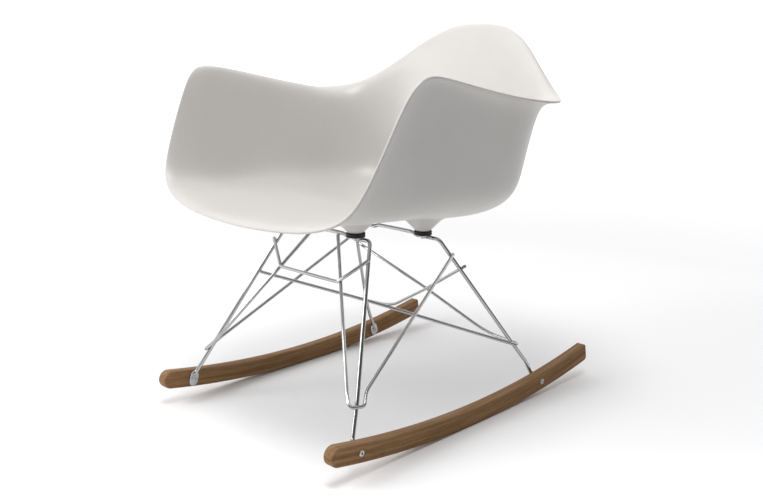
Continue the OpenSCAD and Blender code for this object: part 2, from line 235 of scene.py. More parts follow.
def walnut_material(name, seed):
    """Walnut: x of the grain attribute runs along the runner, y across its height, z through its thickness."""
    t = Tree(name)
    src = t.node("ShaderNodeAttribute", attribute_name="grain").outputs["Vector"]

    def stretched(sx, sy, sz):
        m = t.node("ShaderNodeMapping")
        m.inputs["Location"].default_value = (seed * 3.17, seed * 1.31, seed * 0.77)
        m.inputs["Scale"].default_value = (sx, sy, sz)
        t.link(src, m.inputs["Vector"])
        return m.outputs["Vector"]

    # growth bands, warped along the length
    warp = t.noise(stretched(3.2, 22, 22), 1.0, 3, 0.5)
    sep = t.node("ShaderNodeSeparateXYZ")
    t.link(stretched(1, 1, 1), sep.inputs[0])
    across = t.math("ADD", t.math("MULTIPLY", sep.outputs[1], 150.0), t.math("MULTIPLY", sep.outputs[2], 95.0))
    phase = t.math("ADD", across, t.math("MULTIPLY", warp, 7.5))
    rings = t.math("ADD", t.math("MULTIPLY", t.math("SINE", t.math("MULTIPLY", phase, 2.6)), 0.5), 0.5)
    rings = t.math("POWER", rings, 1.6)
    streak = t.noise(stretched(5.5, 170, 170), 1.0, 4, 0.62)
    fibre = t.noise(stretched(26, 900, 900), 1.0, 3, 0.6)
    pores = t.noise(stretched(60, 1500, 1500), 1.0, 2, 0.5)
    broad = t.noise(stretched(4.0, 12, 12), 1.0, 2, 0.5)
    col = t.ramp(streak, [(0.22, (0.150, 0.080, 0.035)), (0.42, (0.260, 0.143, 0.065)),
                          (0.60, (0.352, 0.207, 0.101)), (0.80, (0.444, 0.279, 0.148))])
    col = t.mix(t.math("MULTIPLY", rings, 0.42), col, (0.155, 0.085, 0.040))
    col = t.mix(t.range(broad, 0.35, 0.7, 0.0, 0.35), col, (0.357, 0.202, 0.094))
    col = t.mix(t.range(fibre, 0.35, 0.7, 0.0, 0.28), col, (0.120, 0.074, 0.044))
    pore = t.range(pores, 0.60, 0.68, 0.0, 1.0)
    col = t.mix(t.math("MULTIPLY", pore, 0.55), col, (0.045, 0.026, 0.015))
    edge = t.node("ShaderNodeAttribute", attribute_name="edge").outputs["Fac"]
    wear = t.math("MULTIPLY", edge, t.range(t.noise(stretched(14, 60, 60), 1.0, 3, 0.6), 0.35, 0.65, 0.12, 0.5))
    col = t.mix(wear, col, (0.360, 0.245, 0.158))
    rough = t.range(streak, 0.25, 0.75, 0.64, 0.52)
    h = t.math("SUBTRACT", t.math("MULTIPLY", fibre, 0.5), t.math("MULTIPLY", pore, 0.6))
    n = t.bump(h, 0.30, 0.0004)
    n = t.bump(streak, 0.10, 0.0005, n)
    return t.set(Base_Color=col, Roughness=rough, Normal=n, Metallic=0.0, IOR=1.5, Specular_IOR_Level=0.05)


def floor_material():
    """White floor under the chair, painted grey out towards +X, -Y: painted shade where the light falls off."""
    t = Tree("studio_floor")
    v = t.coords()
    a = t.noise(v, 2.0, 3, 0.5)
    col = t.ramp(a, [(0.3, (0.90, 0.90, 0.902)), (0.7, (0.912, 0.912, 0.914))])
    d = t.node("ShaderNodeVectorMath", operation="DOT_PRODUCT")
    t.link(v, d.inputs[0])
    d.inputs[1].default_value = (0.707, -0.707, 0.0)
    # painted shade: the floor's colour fades to grey out towards +X, -Y, standing in for light falling off
    out = t.range(d.outputs["Value"], 0.62, 1.45, 0.0, 1.0)
    col = t.mix(out, col, (0.27, 0.27, 0.272))
    # painted light: the floor glows by emission away from the chair's shadow, and more so far out
    length = t.node("ShaderNodeVectorMath", operation="LENGTH")
    t.link(v, length.inputs[0])
    near = t.range(length.outputs["Value"], 0.35, 1.3, 0.0, 1.0)
    front = t.range(d.outputs["Value"], -0.05, 0.45, 0.0, 0.8)
    far_painted_glow = t.math("MULTIPLY", t.range(length.outputs["Value"], 1.5, 5.0, 0.0, 1.0), t.math("SUBTRACT", 1.0, out))
    painted_glow_mask = t.math("MULTIPLY", t.math("MAXIMUM", near, front), t.math("SUBTRACT", 1.0, out))
    # the emission here is painted light: a glow on the floor, not a lamp
    return t.set(Base_Color=col, Roughness=0.8, Specular_IOR_Level=0.1,
                 Emission_Color=(1.0, 1.0, 1.0), Emission_Strength=t.math(
                     "ADD", t.math("MULTIPLY", painted_glow_mask, 0.08), t.math("MULTIPLY", far_painted_glow, 0.60)))


SHELL = shell_material()
CHROME = chrome_material()
ZINC = zinc_material("fastener_steel")
NUT = zinc_material("sleeve_nut_steel", (0.66, 0.65, 0.63), 0.26, 0.44)
BRASS = zinc_material("insert_brass", (0.60, 0.44, 0.20), 0.25, 0.4)
RUBBER = rubber_material()
WALNUT_L, WALNUT_R = walnut_material("walnut_left", 1.0), walnut_material("walnut_right", 2.0)
FLOOR = floor_material()

# ---------------------------------------------------------------------- shell
# rows down the inside: rim, rolled edge, upper wall, lower wall, corner, seat; from the front edge to the back
ROWS = [
    [(0, -358, 396), (0, -352, 402), (0, -330, 404), (0, -280, 398), (0, -208, 390), (0, -115, 380)],
    [(76, -355, 398), (76, -350, 404), (75, -328, 405), (73, -280, 399), (68, -208, 391), (38, -115, 380)],
    [(150, -350, 403), (149, -344, 409), (146, -323, 410), (138, -276, 404), (128, -205, 396), (72, -112, 382)],
    [(213, -342, 416), (210, -335, 420), (204, -313, 420), (192, -266, 413), (178, -196, 403), (98, -104, 384)],
    [(257, -331, 441), (252, -323, 443), (245, -299, 438), (230, -250, 424), (214, -178, 409), (116, -92, 385)],
    [(274, -311, 487), (269, -301, 487), (260, -272, 474), (246, -222, 438), (232, -152, 412), (125, -78, 384)],
    [(285, -282, 549), (279, -270, 548), (267, -236, 527), (250, -186, 452), (240, -122, 411), (129, -62, 382)],
    [(292, -252, 610), (286, -236, 607), (271, -197, 572), (252, -148, 462), (243, -90, 408), (130, -46, 379)],
    [(303, -220, 656), (292, -192, 652), (272, -152, 596), (252, -108, 467), (244, -56, 405), (130, -30, 377)],
    [(306, -155, 643), (287, -142, 650), (268, -107, 594), (251, -66, 466), (243, -22, 401), (129, -12, 374)],
    [(305, -78, 626), (281, -74, 636), (263, -60, 584), (249, -22, 462), (241, 12, 398), (127, 8, 371)],
    [(300, 0, 611), (275, -6, 618), (258, -8, 574), (247, 24, 459), (239, 46, 395), (123, 28, 368)],
    [(301, 66, 600), (272, 57, 605), (254, 48, 568), (244, 70, 459), (234, 82, 392), (117, 46, 365)],
    [(325, 128, 592), (286, 121, 590), (260, 113, 556), (237, 116, 459), (221, 118, 388), (107, 62, 363)],
    [(260, 196, 601), (250, 184, 606), (235, 174, 580), (213, 162, 463), (194, 152, 385), (90, 76, 361)],
    [(189, 240, 649), (188, 225, 658), (186, 211, 600), (169, 190, 470), (154, 174, 384), (70, 88, 360)],
    [(125, 272, 704), (127, 256, 704), (126, 230, 616), (115, 203, 476), (105, 185, 384), (47, 95, 360)],
    [(62, 285, 728), (65, 274, 722), (65, 240, 626), (60, 209, 480), (54, 189, 384), (24, 99, 360)],
    [(0, 286, 729), (0, 276, 726), (0, 244, 630), (0, 211, 482), (0, 190, 384), (0, 100, 360)],
]
POLE = (0, -12, 366)


def shell_surface(nu, nv):
    half = np.array(ROWS, float)
    net = np.concatenate([half, half[1:-1][::-1] * np.array([-1, 1, 1])])
    net = np.concatenate([net, np.tile(np.array(POLE, float), (len(net), 1, 1))], 1)
    m, k = net.shape[:2]
    knots = [0, 0, 0, 0, 0.25, 0.5, 0.75, 1, 1, 1, 1]

    def basis(i, p, t):
        if p == 0:
            return ((t >= knots[i]) & (t < knots[i + 1])).astype(float)
        out = np.zeros_like(t)
        if knots[i + p] > knots[i]:
            out = out + (t - knots[i]) / (knots[i + p] - knots[i]) * basis(i, p - 1, t)
        if knots[i + p + 1] > knots[i + 1]:
            out = out + (knots[i + p + 1] - t) / (knots[i + p + 1] - knots[i + 1]) * basis(i + 1, p - 1, t)
        return out

    v = np.minimum(np.linspace(0, 1, nv + 1) ** 1.2, 0.9999999)
    down = np.stack([basis(i, 3, v) for i in range(k)], 1)          # nv+1, 7
    u = np.arange(nu) * m / nu
    a = np.floor(u).astype(int)
    f = (u - a)[:, None, None]
    around = ((1 - f) ** 3 / 6 * net[(a - 1) % m] + (3 * f ** 3 - 6 * f ** 2 + 4) / 6 * net[a % m]
              + (-3 * f ** 3 + 3 * f ** 2 + 3 * f + 1) / 6 * net[(a + 1) % m] + f ** 3 / 6 * net[(a + 2) % m])
    inside = np.einsum("ji,uik->ujk", down, around)
    du = np.roll(inside, -1, 0) - np.roll(inside, 1, 0)
    dv = np.gradient(inside, axis=1)
    n = np.cross(du, dv)
    n /= np.linalg.norm(n, axis=2, keepdims=True) + 1e-12
    return inside, n


NU, NV = 432, 92
inside, nrm = shell_surface(NU, NV)
outside = inside - SHELL_T * nrm
up = Vector((0, 0, 1))


def shell_mesh():
    verts, faces, edge = [], [], []
    inn, out = inside[:, :NV], outside[:, :NV]
    for j in range(NV):
        verts.extend(inn[:, j])
        edge.extend([1.0 if j == 0 else 0.0] * NU)
    pole_in = len(verts)
    verts.append(inside[:, NV].mean(0)); edge.append(0)
    o0 = len(verts)
    for j in range(NV):
        verts.extend(out[:, j])
        edge.extend([1.0 if j == 0 else 0.0] * NU)
    pole_out = len(verts)
    verts.append(inside[:, NV].mean(0) - np.array([0, 0, SHELL_T])); edge.append(0)
    # rounded edge of the rim
    mid = (inn[:, 0] + out[:, 0]) / 2
    e = inn[:, 0] - inn[:, 1]
    e /= np.linalg.norm(e, axis=1, keepdims=True)
    n0 = nrm[:, 0]
    rings = []
    for q in range(1, 8):
        th = math.pi * q / 8
        c, s = math.cos(th), math.sin(th)
        rings.append(len(verts))
        verts.extend(mid + n0 * (SHELL_T / 2 * math.copysign(abs(c) ** 0.7, c)) + e * (1.8 * s ** 0.7))
        edge.extend([1.0] * NU)
    for i in range(NU):
        k = (i + 1) % NU
        for j in range(NV - 1):
            a, b = j * NU, (j + 1) * NU
            faces.append((a + i, b + i, b + k, a + k))
            faces.append((o0 + a + i, o0 + a + k, o0 + b + k, o0 + b + i))
        a = (NV - 1) * NU
        faces.append((a + i, pole_in, a + k))
        faces.append((o0 + a + i, o0 + a + k, pole_out))
        chain = [0] + rings + [o0]
        for a, b in zip(chain, chain[1:]):
            faces.append((a + i, a + k, b + k, b + i))
    ob = make("seat_shell_moulding", verts, faces, SHELL, sharp=0)
    # the edge attribute marks the rim, which the shell material paints lighter as a painted highlight
    ob.data.attributes.new("edge", "FLOAT", "POINT")
    ob.data.attributes["edge"].data.foreach_set("value", np.array(edge, np.float32))
    return ob


shell = shell_mesh()
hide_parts("seat_shell")

# outer surface alone, to find the height of the seat's underside
quads = [(j * NU + i, j * NU + (i + 1) % NU, (j + 1) * NU + (i + 1) % NU, (j + 1) * NU + i)
         for j in range(30, NV - 1) for i in range(NU)]
last = (NV - 1) * NU
flat_out = outside[:, :NV].transpose(1, 0, 2).reshape(-1, 3)
pole = len(flat_out)
flat_out = np.vstack([flat_out, inside[:, NV].mean(0) - np.array([0, 0, SHELL_T])])
quads += [(last + i, last + (i + 1) % NU, pole) for i in range(NU)]
tree = BVHTree.FromPolygons([tuple(v) for v in flat_out], quads)


def underside(x, y):
    hit = tree.ray_cast(Vector((x, y, 300.0)), up)
    return hit[0].z


def spin(profile, n=96, closed=True, centre=(0, 0, 0), turn=None):
    """Rings round an axis. profile is [(radius or function of angle, z or function of angle), ...]; a radius of None ends at a point."""
    verts, faces, rows = [], [], []
    for r, z in profile:
        if r is None:
            rows.append([len(verts)])
            verts.append((0, 0, z))
            continue
        row = []
        for k in range(n):
            a = 2 * math.pi * k / n
            rr = r(a) if callable(r) else r
            zz = z(a) if callable(z) else z
            row.append(len(verts))
            verts.append((rr * math.cos(a), rr * math.sin(a), zz))
        rows.append(row)
    pairs = list(zip(rows, rows[1:])) + ([(rows[-1], rows[0])] if closed else [])
    for A, B in pairs:
        for k in range(n):
            q = (k + 1) % n
            if len(A) == 1 and len(B) == 1:
                continue
            if len(A) == 1:
                faces.append((A[0], B[q], B[k]))
            elif len(B) == 1:
                faces.append((A[k], A[q], B[0]))
            else:
                faces.append((A[k], A[q], B[q], B[k]))
    verts = np.array(verts, float)
    if turn is not None:
        verts = verts @ np.array(turn, float).T
    return verts + np.array(centre, float), faces


def join(parts):
    verts, faces, base = [], [], 0
    for v, f in parts:
        verts.append(np.array(v, float))
        faces += [tuple(i + base for i in q) for q in f]
        base += len(v)
    return np.vstack(verts), faces


def outward(ob):
    """Makes every face of a closed piece look outwards."""
    import bmesh
    bm = bmesh.new()
    bm.from_mesh(ob.data)
    bmesh.ops.recalc_face_normals(bm, faces=bm.faces)
    bm.to_mesh(ob.data)
    bm.free()
    ob.data.update()
    return ob


outward(shell)


def smin(a, b, k):
    h = max(k - abs(a - b), 0.0) / k
    return min(a, b) - h * h * k * 0.25


def boss(name, p, s):
    """Moulded cone under the seat, flowing into the underside with a fillet."""
    cx, cy, zb = s * p[0], p[1], p[2] + PAD_T
    n = 96
    radii = [5.05, 8, 11, 13.0, 13.6, 14.1, 14.45, 14.7] + [14.7 + 1.15 * i for i in range(1, 33)]
    low, high = [], []
    for r in radii:
        rl, rh = [], []
        for k in range(n):
            a = 2 * math.pi * k / n
            x, y = cx + r * math.cos(a), cy + r * math.sin(a)
            zs = underside(x, y)
            cone = zb + (-smin(0.0, -(r - 14.2) * 1.02, 1.6) if r < 17 else (r - 14.2) * 1.02)
            z = smin(zs, cone, 9.0)
            rl.append((x, y, max(zb, z) - 0.03 if r > 15 else max(zb, z)))
            rh.append((x, y, zs + 2.2))
        low.append(rl)
        high.append(rh)
    rows = low + high[::-1]
    verts = [v for row in rows for v in row]
    faces = []
    m = len(rows)
    for i in range(m):
        A, B = i * n, ((i + 1) % m) * n
        for k in range(n):
            q = (k + 1) % n
            faces.append((A + k, B + k, B + q, A + q))
    return outward(make(name, verts, faces, SHELL, sharp=50))


for nm, p in (("front", PAD_F), ("rear", PAD_R)):
    for s, side in ((1, "left"), (-1, "right")):
        boss("boss_%s_%s" % (nm, side), p, s)


# ---------------------------------------------------------------------- wires
def unit(v):
    return v / np.linalg.norm(v)


def axis_points(P, step=5.0):
    """The wire's axis: straight lengths, with round bends in fine steps."""
    P = [np.array(q, float) for q in P]
    out = [P[0][:3]]
    for i in range(1, len(P) - 1):
        a, b = unit(P[i][:3] - P[i - 1][:3]), unit(P[i + 1][:3] - P[i][:3])
        ang = math.acos(min(1.0, float(a @ b)))
        r = P[i][3] if len(P[i]) > 3 else 0
        if ang < 1e-4 or r == 0:
            out.append(P[i][:3])
            continue
        m = np.cross(unit(np.cross(a, b)), a)
        c = P[i][:3] - a * (r * math.tan(ang / 2)) + m * r
        steps = max(3, math.ceil(math.degrees(ang) / step))
        for k in range(steps + 1):
            t = ang * k / steps
            out.append(c + r * (a * math.sin(t) - m * math.cos(t)))
    out.append(P[-1][:3])
    return np.array(out)


def tube(A, d, n=24, dome=True, section=None):
    """A tube along A. The section argument is not used."""
    m = len(A)
    T = [unit((unit(A[min(k + 1, m - 1)] - A[k]) if k < m - 1 else 0) + (unit(A[k] - A[k - 1]) if k else 0))
         for k in range(m)]
    U = []
    u = np.array([1.0, 0, 0]) if abs(T[0][2]) > 0.9 else np.array([0, 0, 1.0])
    for k in range(m):
        u = unit(u - T[k] * float(u @ T[k]))
        U.append(u)
    rings = []
    ends = []
    r = d / 2
    if dome:
        for ang in (75, 50, 25):
            ends.append((r * math.cos(math.radians(ang)) * 1.0, 0.28 * r * math.sin(math.radians(ang))))
    for rr, back in ends:
        rings.append((A[0] - T[0] * back, U[0], np.cross(T[0], U[0]), rr))
    for k in range(m):
        rings.append((A[k], U[k], np.cross(T[k], U[k]), r))
    for rr, back in reversed(ends):
        rings.append((A[-1] + T[-1] * back, U[-1], np.cross(T[-1], U[-1]), rr))
    verts = []
    for c, a, b, rr in rings:
        for q in range(n):
            t = 2 * math.pi * q / n
            verts.append(c + rr * (a * math.cos(t) + b * math.sin(t)))
    faces = []
    M = len(rings)
    for k in range(M - 1):
        for q in range(n):
            e = (q + 1) % n
            faces.append((k * n + q, k * n + e, (k + 1) * n + e, (k + 1) * n + q))
    v0 = len(verts)
    cap = 0.28 * r if dome else 0
    verts.append(A[0] - T[0] * cap)
    verts.append(A[-1] + T[-1] * cap)
    for q in range(n):
        e = (q + 1) % n
        faces.append((v0, e, q))
        faces.append((v0 + 1, (M - 1) * n + q, (M - 1) * n + e))
    return np.array(verts), faces


def flip(p):
    return (-p[0],) + tuple(p[1:])


def both(P):
    return list(P) + [flip(p) for p in reversed(P)]


def on_runner(deg, r):
    a = math.radians(deg)
    return np.array([0, r * math.sin(a), R - r * math.cos(a)])


FOOT_F, FOOT_R = on_runner(-9.2, MID), on_runner(5.98, MID)
TAB_T = 3.0
FOOT_X = FACE - 0.45 - HOOP_D / 2
BAR_F = (PAD_F[1] + 10, PAD_F[2] - PLATE_T - HOOP_D / 2)
BAR_R = (PAD_R[1] + 10, PAD_R[2] - PLATE_T - HOOP_D / 2)
hoop_f = [(FOOT_X, FOOT_F[1] + 3, FOOT_F[2] + 11), (206, -271, 112, 60), (114.6, BAR_F[0], BAR_F[1], 11),
          (58, BAR_F[0], BAR_F[1], 30), (46, BAR_F[0], BAR_F[1] + 4.5, 30)]
hoop_r = [(FOOT_X, FOOT_R[1] - 3, FOOT_R[2] + 11), (223.5, 180, 69, 30), (207, 152.7, 112, 90),
          (118, BAR_R[0], BAR_R[1], 13), (58, BAR_R[0], BAR_R[1], 30), (46, BAR_R[0], BAR_R[1] + 4.5, 30)]
strut_f = [(35, -154.5, 351.5), (190, -280, 122, 150), (207.5, -292, 104, 8), (220.5, -268.5, 104, 8),
           (207, -251, 122, 40), (136.7, 53, 297.5)]


def strut_r(lift):
    return [(-150, 72.5, 272), (0, 120.7, 189 + lift, 300), (138, 165, 112, 120), (214, 163, 109, 5),
            (217.5, 154.3, 108, 5), (0, -54, 196.5 + lift, 300), (-146.5, -194.7, 256)]


LIFT = STRUT_D / 2 + 0.2
bracket = [(132, -170.5, 323), (80, -198, 279.5, 10)]

paths = {
    "front_hoop": (both(hoop_f), HOOP_D), "rear_hoop": (both(hoop_r), HOOP_D),
    "front_strut_left": (strut_f, STRUT_D), "front_strut_right": ([flip(p) for p in strut_f], STRUT_D),
    "rear_strut_left": (strut_r(LIFT), STRUT_D), "rear_strut_right": ([flip(p) for p in strut_r(-LIFT)], STRUT_D),
    "front_bracket": (both(bracket), STRUT_D),
}
axes = {k: axis_points(P) for k, (P, d) in paths.items()}


def foot_part(foot, lean, s, wire_end, wire_dir):
    """The forged foot of a hoop: the round wire swells and flattens into an oval with a hole for the screw."""
    n, rows = 64, []
    L = math.radians(lean)
    upv = np.array([0, -math.sin(L), math.cos(L)])      # along the tab, upwards
    wid = np.array([0, math.cos(L), math.sin(L)])       # across it
    cx = s * (FACE - 0.05 - TAB_T / 2)
    out_x = np.array([float(s), 0, 0])
    c0 = np.array([cx, foot[1], foot[2]])

    def oval(r_add, a):
        # stadium 20 wide, 30 long, star shaped round the hole
        w, h = 10.0 + r_add, 5.0
        ca, sa = abs(math.cos(a)), abs(math.sin(a))     # a measured from the across direction
        if ca * h <= sa * 1e9 and sa > 1e-9:
            pass
        # hit with the straight sides
        if ca > 1e-9 and (w / ca) * sa <= h:
            return w / ca
        return h * sa + math.sqrt(max(w * w - (h * ca) ** 2, 0.0))

    prof = [(3.3, -1.1), (3.7, -1.5), ("o", -0.55, -1.5), ("o", -0.16, -1.34), ("o", 0.0, -0.95),
            ("o", 0.0, 0.95), ("o", -0.16, 1.34), ("o", -0.55, 1.5), (3.7, 1.5), (3.3, 1.1)]
    verts, faces = [], []
    for row in prof:
        for k in range(n):
            a = 2 * math.pi * k / n
            r = oval(row[1], a) if row[0] == "o" else row[0]
            verts.append(c0 + wid * (r * math.cos(a)) + upv * (r * math.sin(a)) + out_x * row[-1])
    m = len(prof)
    for i in range(m):
        A, B = i * n, ((i + 1) % m) * n
        for k in range(n):
            q = (k + 1) % n
            faces.append((A + k, A + q, B + q, B + k))
    # transition: sections from the round wire into the tab's upper end
    end = np.array(wire_end, float)
    top = c0 + upv * 11.0
    d0, d1 = unit(-np.array(wire_dir, float)), -upv
    start = end + np.array(wire_dir, float) * 6.0
    N, nn = 14, 28
    base = len(verts)
    centres = []
    for i in range(N + 1):
        t = i / N
        h00, h10, h01, h11 = 2 * t**3 - 3 * t**2 + 1, t**3 - 2 * t**2 + t, -2 * t**3 + 3 * t**2, t**3 - t**2
        ln = np.linalg.norm(top - start)
        c = h00 * start + h10 * d0 * ln + h01 * top + h11 * d1 * ln
        centres.append(c)
        e = t * t * (3 - 2 * t)
        tang = unit(d0 * (1 - t) + d1 * t)
        a_dir = unit(wid - tang * float(wid @ tang))
        b_dir = np.cross(tang, a_dir)
        hw = (HOOP_D / 2 + 0.02) * (1 - e) + 7.4 * e
        hh = (HOOP_D / 2 + 0.02) * (1 - e) + 1.46 * e
        p = 1.0 * (1 - e) + 0.6 * e
        for q in range(nn):
            th = 2 * math.pi * q / nn
            cc, ss = math.cos(th), math.sin(th)
            verts.append(c + a_dir * hw * math.copysign(abs(cc) ** p, cc) + b_dir * hh * math.copysign(abs(ss) ** p, ss))
    for i in range(N):
        for q in range(nn):
            e2 = (q + 1) % nn
            A, B = base + i * nn, base + (i + 1) * nn
            faces.append((A + q, A + e2, B + e2, B + q))
    for row, c in ((0, centres[0]), (N, centres[-1])):
        v = len(verts)
        verts.append(c)
        for q in range(nn):
            e2 = (q + 1) % nn
            A = base + row * nn
            faces.append((v, A + q, A + e2))
    return np.array(verts), faces


def bead(c, along, across, length, rad, seed):
    """A small weld bead: an uneven, slightly rippled drop of metal lying along the joint."""
    g = random.Random(seed)
    n, m = 20, 16
    along, across = unit(along), np.array(across, float)
    across = unit(across - along * float(across @ along))
    third = np.cross(along, across)
    ph = [g.uniform(0, 6.28) for _ in range(4)]
    verts, faces = [], []
    verts.append(c - along * length)
    for i in range(1, m):
        t = math.pi * i / m
        for k in range(n):
            a = 2 * math.pi * k / n
            r = rad * math.sin(t) ** 0.75 * (1 + 0.07 * math.sin(5 * t + ph[0]) + 0.06 * math.sin(3 * a + ph[1])
                                            + 0.05 * math.sin(11 * t + ph[2]))
            verts.append(c - along * (length * math.cos(t)) + across * (r * math.cos(a)) + third * (r * math.sin(a)))
    verts.append(c + along * length)
    lastv = len(verts) - 1
    for k in range(n):
        q = (k + 1) % n
        faces.append((0, 1 + q, 1 + k))
        faces.append((lastv, 1 + (m - 2) * n + k, 1 + (m - 2) * n + q))
        for i in range(m - 2):
            A, B = 1 + i * n, 1 + (i + 1) * n
            faces.append((A + k, A + q, B + q, B + k))
    return np.array(verts), faces


def seg_points(A, step=2.0):
    pts, dirs = [], []
    for a, b in zip(A, A[1:]):
        ln = np.linalg.norm(b - a)
        k = max(1, int(ln / step))
        for i in range(k):
            pts.append(a + (b - a) * i / k)
            dirs.append((b - a) / ln)
    pts.append(A[-1]); dirs.append(unit(A[-1] - A[-2]))
    return np.array(pts), np.array(dirs)


dense = {k: seg_points(A) for k, A in axes.items()}
beads = {k: [] for k in paths}
seed = 0
names = list(paths)
for i, a in enumerate(names):
    for b in names[i + 1:]:
        if a in ("front_hoop", "rear_hoop") and b in ("front_hoop", "rear_hoop"):
            continue
        PA, DA = dense[a]
        PB, DB = dense[b]
        D = np.linalg.norm(PA[:, None] - PB[None], axis=2)
        touch = (paths[a][1] + paths[b][1]) / 2
        taken = []
        order = np.argsort(D.min(1))
        for ia in order:
            ib = int(D[ia].argmin())
            if D[ia, ib] > touch + 1.0:
                break
            c = (PA[ia] + PB[ib]) / 2
            if any(np.linalg.norm(c - q) < 26 for q in taken):
                continue
            taken.append(c)
            seed += 1
            across = PB[ib] - PA[ia]
            if np.linalg.norm(across) < 1e-6:
                across = np.array([1.0, 0, 0])
            skew = 1 - abs(float(DA[ia] @ DB[ib]))
            length = 7.5 if skew < 0.3 else 4.6
            owner = b
            beads[owner].append(bead(c, unit(DA[ia] + DB[ib] * (1 if DA[ia] @ DB[ib] > 0 else -1)), across,
                                     length, 2.7, seed))

for name, (P, d) in paths.items():
    parts = [tube(axes[name], d, dome=not name.endswith("hoop"))]
    if name.endswith("hoop"):
        foot, lean = (FOOT_F, -16) if name == "front_hoop" else (FOOT_R, 16)
        A = axes[name]
        for s, e, dvec in ((1, A[0], unit(A[1] - A[0])), (-1, A[-1], unit(A[-2] - A[-1]))):
            parts.append(foot_part(foot, lean, s, e, dvec))
    parts += beads[name]
    v, f = join(parts)
    ob = outward(make("wire_" + name, v, f, CHROME, sharp=45))
    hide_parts(name)


# ------------------------------------------------------------------- hardware
def hexagon(af, angle0=0.0):
    return lambda a: (af / 2) / math.cos(((a - angle0) % (math.pi / 3)) - math.pi / 6)


SIDES = ((1, "left"), (-1, "right"))
PADS = (("front", PAD_F), ("rear", PAD_R))

pad_prof = [(3.35, 0.4), (3.7, 0), (15.7, 0), (16.7, 0.25), (17.25, 0.75), (17.45, 1.5), (17.5, 2.6), (17.35, 3.05),
            (16.9, 3.35), (16.75, 4.0), (16.9, 4.65), (17.35, 4.95), (17.5, 5.4), (17.45, 6.5), (17.25, 7.25),
            (16.7, 7.75), (15.7, 8), (3.7, 8), (3.35, 7.6)]
for nm, p in PADS:
    for s, side in SIDES:
        v, f = spin(pad_prof, 96, centre=(s * p[0], p[1], p[2]))
        ob = outward(make("pad_%s_%s" % (nm, side), v, f, RUBBER, sharp=40))
        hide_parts("mount_pad_%s_%s" % (nm, side))


def plate_radius(a):
    """Disc 24 across with a tongue, 24 wide, reaching back to the crossbar; its corners are rounded."""
    x, y = math.cos(a), math.sin(a)
    if y <= 0:
        return 12.0
    back, c = 13.75, 3.0
    best = 12.0 / abs(x) if abs(x) > 1e-9 else 1e9
    best = min(best, back / y)
    px, py = abs(best * x), best * y
    if px > 12 - c and py > back - c:
        # ray against the corner's arc
        ox, oy = 12 - c, back - c
        ax, ay = abs(x), y
        b = ax * ox + ay * oy
        best = b + math.sqrt(max(b * b - (ox * ox + oy * oy - c * c), 0))
    return best


def around_plate(k):
    return lambda a: plate_radius(a) - k


plate_prof = [(3.4, -0.25), (3.65, 0), (around_plate(0.5), 0), (around_plate(0.14), -0.14), (around_plate(0.0), -0.5),
              (around_plate(0.0), -2.0), (around_plate(0.14), -2.36), (around_plate(0.5), -2.5), (3.65, -2.5), (3.4, -2.25)]
for nm, p in PADS:
    for s, side in SIDES:
        v, f = spin(plate_prof, 144, centre=(s * p[0], p[1], p[2]))
        ob = outward(make("plate_%s_%s" % (nm, side), v, f, CHROME, sharp=45))
        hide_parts("mount_plate_%s_%s" % (nm, side))


def screw_profile(shaft_r, shaft_len, head_r, head_h, socket, deep):
    """From the tip of the shaft, along z, down to the head and its hexagon socket."""
    th = []
    z, k = shaft_len, 0
    th.append((None, shaft_len))
    th.append((shaft_r - 0.7, shaft_len))
    pitch = 1.0
    z = shaft_len - 0.6
    while z > max(2.0, shaft_len - 16):
        th.append((shaft_r, z))
        th.append((shaft_r - 0.42, z - pitch / 2))
        z -= pitch
    th += [(shaft_r - 0.2, max(1.0, z - 0.3)), (shaft_r - 0.2, 0.0), (head_r - 0.35, 0.0), (head_r, -0.35)]
    for i in range(1, 7):
        a = math.radians(90 * i / 6)
        th.append((head_r - 0.45 * head_r * (1 - math.cos(a)), -0.35 - (head_h - 0.35) * math.sin(a)))
    th += [(lambda a: hexagon(socket)(a) + 0.25, -head_h), (hexagon(socket), -head_h + 0.2),
           (hexagon(socket), -head_h + deep), (None, -head_h + deep + 0.7)]
    return th


parts = []
for nm, p in PADS:
    for s, side in SIDES:
        z0 = p[2] - PLATE_T - WASHER_T
        parts.append(spin(screw_profile(3.0, PLATE_T + WASHER_T + PAD_T + 9.5, 5.25, 4.0, 4.0, 2.2), 48, closed=False,
                          centre=(s * p[0], p[1], z0)))
v, f = join(parts)
ob = outward(make("screws_mounting", v, f, ZINC, sharp=35))
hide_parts("mount_screws")


def split_washer(r0, r1, h, centre, start):
    n = 40
    verts, faces = [], []
    span = math.radians(348)
    for k in range(n + 1):
        a = start + span * k / n
        dz = 0.22 * (k / n - 0.5)
        for r, z in ((r0, 0.12), (r0 + 0.12, 0), (r1 - 0.2, 0), (r1, 0.2), (r1, h - 0.2), (r1 - 0.2, h), (r0 + 0.12, h),
                     (r0, h - 0.12)):
            verts.append((centre[0] + r * math.cos(a), centre[1] + r * math.sin(a),
                          centre[2] + min(max(z + dz, 0.0), h)))
    m = 8
    for k in range(n):
        for i in range(m):
            j = (i + 1) % m
            faces.append((k * m + i, k * m + j, (k + 1) * m + j, (k + 1) * m + i))
    faces.append(tuple(range(m)))
    faces.append(tuple(reversed(range(n * m, n * m + m))))
    return np.array(verts), faces


parts = [split_washer(3.25, 5.5, WASHER_T, (s * p[0], p[1], p[2] - PLATE_T - WASHER_T), 0.6 + 1.1 * i)
         for i, (s, p) in enumerate((s, p) for nm, p in PADS for s, side in SIDES)]
v, f = join(parts)
ob = outward(make("washers_split", v, f, ZINC, sharp=35))
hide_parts("lock_washers")

# the runner's fastenings lie along X, outwards from the inner face
FEET = [(s, foot) for foot in (FOOT_F, FOOT_R) for s in (1, -1)]


